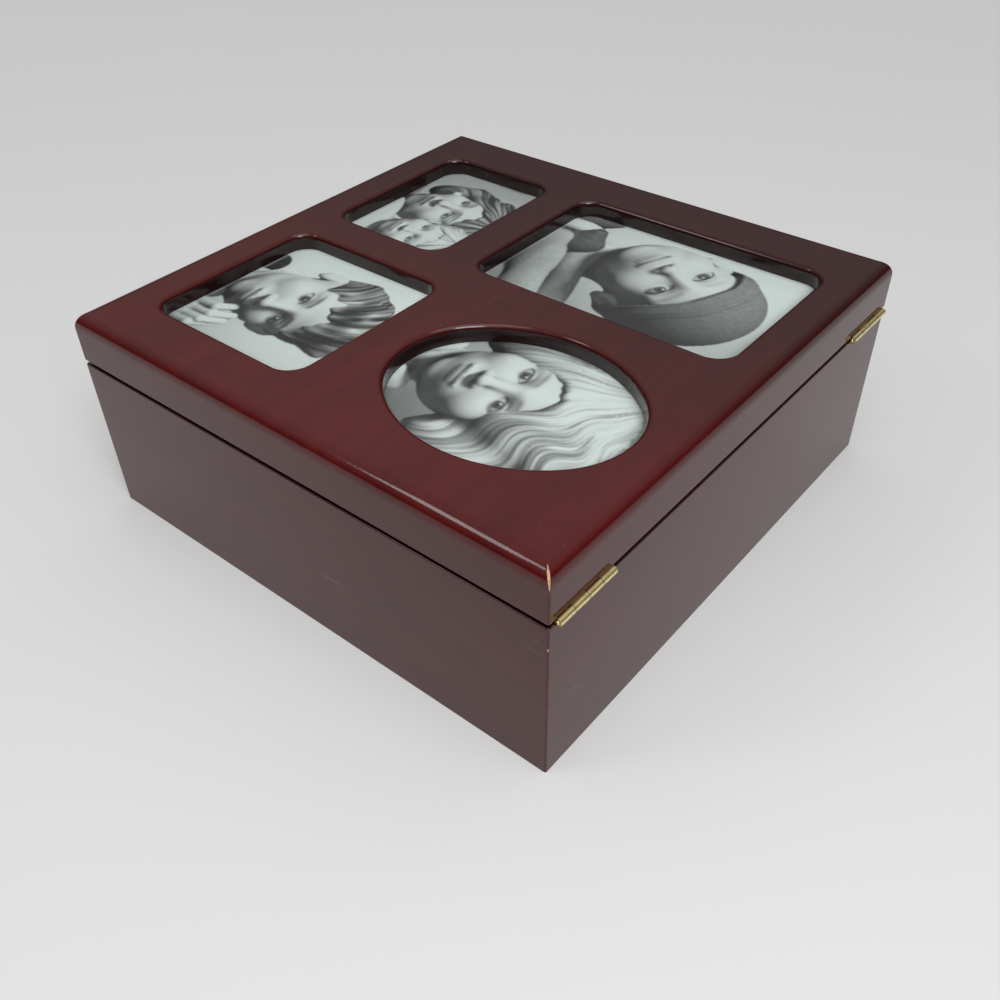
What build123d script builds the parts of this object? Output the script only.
from build123d import *
import os

# Photo storage box: a square lacquered box for prints and keepsakes. Its hinged lid has four routed
# windows, each with a print behind one pane of glass. Millimetres, +Z up. The origin is the centre of
# the base's underside, +Y is the hinged back and -Y the front that lifts.

# --- the box -----------------------------------------------------------------------------------
box_width = 240.0
box_depth = 241.5
base_height = 73.0
lid_height = 23.5
wall_thickness = 9.5
arris_round = 0.6  # the sanded arrises beside the seam

# --- the seam between base and lid: the lid closes wood on wood, with a shadow gap outside ------
seam_gap = 1.5
seam_depth = 3.0

# --- the bottom panel and its lining -----------------------------------------------------------
bottom_thickness = 4.0
bottom_rise = 3.0  # from the table to the panel's underside
groove_depth = 4.0
panel_play = 0.5  # room for the panel to swell, at the ends of its tongues
lining_thickness = 1.2
lining_play = 0.3

# --- the lid's top board and its windows --------------------------------------------------------
top_thickness = 7.5
top_roundover = 7.0
window_arris = 2.5
window_corner = 9.5
window_bar = 20.2  # wood between two windows
border_left = 28.5  # wood between the windows and each side of the board
border_right = 24.9
border_front = 20.5
border_back = 16.8
wide_window_height = 61.5
square_window_height = 83.0
oval_inset = 1.0  # how much narrower the oval is on each side than the window in front of it
oval_end_share = 0.84  # the radius of the oval's ends, as a share of its narrower half

# --- what the lid holds -------------------------------------------------------------------------
glass_thickness = 2.0
glass_play = 0.4
print_thickness = 0.3
print_overlap = 5.0  # how far a print reaches past its window
backing_thickness = 3.0
point_thickness = 0.4
point_width = 12.0
point_reach = 6.0  # over the backing board
point_bite = 2.5  # into the rail
point_spacing = 120.0

# --- the hinges ---------------------------------------------------------------------------------
hinge_length = 30.0
hinge_inset = 3.5  # from the side of the box to the hinge's end
knuckle_count = 4
knuckle_play = 0.2
barrel_radius = 1.65
barrel_standoff = 0.6  # from the back of the box to the hinge's axis
barrel_relief = 0.35  # between a knuckle and the other leaf
pin_radius = 0.8
pin_clearance = 0.04
pin_end = 0.3  # how far the pin stands out of the barrel
leaf_thickness = 0.8
leaf_depth = 8.3  # from the axis to the leaf's free edge
mortise_play = 0.15

# --- the hinge screws, of which the countersunk heads are modelled and the threads left out -------
screw_spacing = 16.0
screw_offset = 5.2  # from the axis
screw_radius = 0.9
screw_head_radius = 1.75
screw_clearance = 0.03

# --- worked out from the sizes above ------------------------------------------------------------
half_width = box_width / 2
half_depth = box_depth / 2
inner_half_width = half_width - wall_thickness
inner_half_depth = half_depth - wall_thickness
lid_top = base_height + lid_height
board_underside = lid_top - top_thickness
glass_underside = board_underside - glass_thickness
print_underside = glass_underside - print_thickness
backing_underside = print_underside - backing_thickness
axis_y = half_depth + barrel_standoff
axis_z = base_height + seam_gap / 2
hinge_x = half_width - hinge_inset - hinge_length / 2
leaf_seat = barrel_radius  # from the axis to the wood under a leaf
CENTRED_LOW = (Align.CENTER, Align.CENTER, Align.MIN)


def export(name, shape):
    """Write one named piece."""
    shape.label = name
    export_step(shape, f"parts/{name}.step")


def block(low_x, high_x, low_y, high_y, low_z, high_z):
    """A box from its lowest to its highest corner."""
    size = (high_x - low_x, high_y - low_y, high_z - low_z)
    return Pos(low_x, low_y, low_z) * Box(*size, align=(Align.MIN, Align.MIN, Align.MIN))


def slab(width, depth, low_z, high_z):
    """A box centred on the Z axis."""
    return Pos(0, 0, low_z) * Box(width, depth, high_z - low_z, align=CENTRED_LOW)


def mitred_boards(low_z, high_z):
    """The four boards of a mitred frame as wide and deep as the box, by side."""
    outer = {
        "front": ((-half_width, -half_depth), (half_width, -half_depth)),
        "right": ((half_width, -half_depth), (half_width, half_depth)),
        "back": ((half_width, half_depth), (-half_width, half_depth)),
        "left": ((-half_width, half_depth), (-half_width, -half_depth)),
    }
    shrink_x = inner_half_width / half_width
    shrink_y = inner_half_depth / half_depth
    boards = {}
    for side, (start, end) in outer.items():
        inner_end = (end[0] * shrink_x, end[1] * shrink_y)
        inner_start = (start[0] * shrink_x, start[1] * shrink_y)
        plan = make_face(Polyline(start, end, inner_end, inner_start, close=True))
        boards[side] = Pos(0, 0, low_z) * extrude(plan, high_z - low_z)
    return boards


def eased_slab(low_z, high_z, face, radius):
    """A slab as wide and deep as the box, the edges of its lowest (0) or highest (-1) face rounded."""
    body = slab(box_width, box_depth, low_z, high_z)
    return fillet(body.faces().sort_by(Axis.Z)[face].edges(), radius)


# --- hinges -------------------------------------------------------------------------------------


def barrel_cylinder(radius, length):
    """A cylinder along the hinge's axis, centred on the origin."""
    return Rot(0, 90, 0) * Cylinder(radius, length)


def knuckle_centre(index):
    """Where one knuckle's middle stands along the hinge."""
    pitch = hinge_length / knuckle_count
    return (index + 0.5) * pitch - hinge_length / 2


def leaf():
    """A leaf lying under its axis, which is the X axis, with every second knuckle of the barrel."""
    half_length = hinge_length / 2
    face = leaf_thickness - leaf_seat
    plate = block(-half_length, half_length, -leaf_depth, 0, -leaf_seat, face)
    pitch = hinge_length / knuckle_count
    notch_half = (pitch + knuckle_play) / 2
    for index in range(knuckle_count):
        x = knuckle_centre(index)
        if index % 2 == 0:
            # the other leaf's knuckle turns in this notch
            plate -= block(x - notch_half, x + notch_half, -barrel_radius - barrel_relief, 0, -leaf_seat, face)
        else:
            plate += Pos(x, 0, 0) * barrel_cylinder(barrel_radius, pitch - knuckle_play)
    plate -= barrel_cylinder(pin_radius + pin_clearance, 2 * hinge_length)
    for x in screw_places():
        plate -= screw_seat(x) * screw_head(screw_clearance)
    return plate


def screw_seat(x):
    """Where a screw's head lies, level with the leaf's open face."""
    return Pos(x, -screw_offset, leaf_thickness - leaf_seat)


def screw_places():
    """Where the screws stand along a leaf."""
    return (-screw_spacing / 2, screw_spacing / 2)


def screw_head(clearance=0.0):
    """A countersunk screw's head, as deep as the leaf under its flat top, or the hole for it."""
    head = Cone(screw_radius + clearance, screw_head_radius + clearance, leaf_thickness)
    return Pos(0, 0, -leaf_thickness / 2) * head


def pin():
    """A hinge pin, as long as the barrel and a little more."""
    return barrel_cylinder(pin_radius, hinge_length + 2 * pin_end)


def at_hinge(x, upper=False):
    """The place of a hinge's parts: as modelled for the base, turned over for the lid."""
    turn = Rot(0, 180, 0) if upper else Rot(0, 0, 0)
    return Pos(x, axis_y, axis_z) * turn


def mortise(x, upper=False):
    """What the wood loses for one leaf, open to the back."""
    half_length = hinge_length / 2 + mortise_play
    cutter = block(-half_length, half_length, -leaf_depth - mortise_play, barrel_radius, -leaf_seat, seam_gap)
    return at_hinge(x, upper) * cutter


def make_hinges():
    """Both hinges: leaves, pins and screws."""
    screws = {"base": [], "lid": []}
    for side, x in (("left", -hinge_x), ("right", hinge_x)):
        export(f"hinge_pin_{side}", at_hinge(x) * pin())
        for body, upper in (("base", False), ("lid", True)):
            place = at_hinge(x, upper)
            export(f"{body}_hinge_leaf_{side}", place * leaf())
            for along in screw_places():
                screws[body].append(place * screw_seat(along) * screw_head())
    for body, pieces in screws.items():
        export(f"{body}_hinge_screws", Compound(children=pieces))


# --- the base -----------------------------------------------------------------------------------


def make_base():
    """Four mitred walls, the bottom panel in its groove, and the felt on it."""
    envelope = eased_slab(0, base_height, -1, arris_round)
    bottom_top = bottom_rise + bottom_thickness
    groove_width = 2 * (inner_half_width + groove_depth)
    groove_length = 2 * (inner_half_depth + groove_depth)
    groove = slab(groove_width, groove_length, bottom_rise, bottom_top)
    mortises = mortise(-hinge_x) + mortise(hinge_x)
    for side, board in mitred_boards(0, base_height).items():
        export(f"base_{side}_wall", (board & envelope) - groove - mortises)
    panel = slab(groove_width - 2 * panel_play, groove_length - 2 * panel_play, bottom_rise, bottom_top)
    export("base_bottom_panel", panel)
    felt_width = 2 * (inner_half_width - lining_play)
    felt_length = 2 * (inner_half_depth - lining_play)
    felt = slab(felt_width, felt_length, bottom_top, bottom_top + lining_thickness)
    export("base_floor_felt", felt)


# --- the lid ------------------------------------------------------------------------------------


def window_places():
    """Each window's name, centre and size: two columns between the borders, two windows in each."""
    low_x, high_x = border_left - half_width, half_width - border_right
    low_y, high_y = border_front - half_depth, half_depth - border_back
    column = (high_x - low_x - window_bar) / 2
    left_x, right_x = low_x + column / 2, high_x - column / 2
    tall_height = high_y - low_y - window_bar - wide_window_height
    oval_height = high_y - low_y - window_bar - square_window_height
    return {
        "tall": (left_x, high_y - tall_height / 2, column, tall_height),
        "wide": (left_x, low_y + wide_window_height / 2, column, wide_window_height),
        "square": (right_x, low_y + square_window_height / 2, column, square_window_height),
        "oval": (right_x, high_y - oval_height / 2, column - 2 * oval_inset, oval_height),
    }


def oval(width, height):
    """An oval of four tangent arcs, the smaller pair at its two far ends."""
    if width > height:
        return Rot(0, 0, 90) * oval(height, width)
    half_wide, half_high = width / 2, height / 2
    end_radius = oval_end_share * half_wide
    end_centre = half_high - end_radius
    side_radius = (end_centre**2 + half_wide**2 - end_radius**2) / (2 * (half_wide - end_radius))
    reach = end_radius / (side_radius - end_radius)
    joint_x = (side_radius - half_wide) * reach
    joint_y = end_centre * (1 + reach)
    arcs = [
        ThreePointArc((-joint_x, joint_y), (0, half_high), (joint_x, joint_y)),
        ThreePointArc((joint_x, joint_y), (half_wide, 0), (joint_x, -joint_y)),
        ThreePointArc((joint_x, -joint_y), (0, -half_high), (-joint_x, -joint_y)),
        ThreePointArc((-joint_x, -joint_y), (-half_wide, 0), (-joint_x, joint_y)),
    ]
    return make_face(arcs)


def window_outline(name, width, height):
    """A window's outline: an oval, or a rectangle with the cutter's rounded corners."""
    if name == "oval":
        return oval(width, height)
    return RectangleRounded(width, height, window_corner)


def make_top_board():
    """The board with its rounded edge and its windows, and the prints that lie behind them."""
    board = eased_slab(board_underside, lid_top, -1, top_roundover)
    for name, (x, y, width, height) in window_places().items():
        opening = extrude(window_outline(name, width, height), top_thickness)
        board -= Pos(x, y, board_underside) * opening
        sheet = (width + 2 * print_overlap, height + 2 * print_overlap)
        photo = slab(*sheet, print_underside, glass_underside)
        export(f"print_{name}", Pos(x, y, 0) * photo)
    top_face = board.faces().filter_by(GeomType.PLANE).sort_by(Axis.Z)[-1]
    rims = [edge for wire in top_face.inner_wires() for edge in wire.edges()]
    export("lid_top_panel", fillet(rims, window_arris))


def backing_points():
    """The thin steel points, two in each rail, under the backing board."""
    top = backing_underside
    reach_x = inner_half_width - glass_play - point_reach
    reach_y = inner_half_depth - glass_play - point_reach
    points = []
    for along in (-point_spacing / 2, point_spacing / 2):
        low, high = along - point_width / 2, along + point_width / 2
        bottom = top - point_thickness
        points.append(block(reach_x, inner_half_width + point_bite, low, high, bottom, top))
        points.append(block(-inner_half_width - point_bite, -reach_x, low, high, bottom, top))
        points.append(block(low, high, reach_y, inner_half_depth + point_bite, bottom, top))
        points.append(block(low, high, -inner_half_depth - point_bite, -reach_y, bottom, top))
    return points


def make_lid_frame():
    """The rails, the glass, the backing board and the points that hold it."""
    envelope = eased_slab(base_height + seam_gap, board_underside, 0, arris_round)
    tongue_width, tongue_length = box_width - 2 * seam_depth, box_depth - 2 * seam_depth
    outside = envelope + slab(tongue_width, tongue_length, base_height, base_height + 2 * seam_gap)
    mortises = mortise(-hinge_x, upper=True) + mortise(hinge_x, upper=True)
    points = backing_points()
    for side, board in mitred_boards(base_height, board_underside).items():
        rail = (board & outside) - mortises
        for point in points:
            rail -= point
        export(f"lid_{side}_rail", rail)
    pane_width = 2 * (inner_half_width - glass_play)
    pane_depth = 2 * (inner_half_depth - glass_play)
    export("lid_glass", slab(pane_width, pane_depth, glass_underside, board_underside))
    export("lid_backing_board", slab(pane_width, pane_depth, backing_underside, print_underside))
    export("lid_backing_points", Compound(children=points))


os.makedirs("parts", exist_ok=True)
make_base()
make_lid_frame()
make_top_board()
make_hinges()
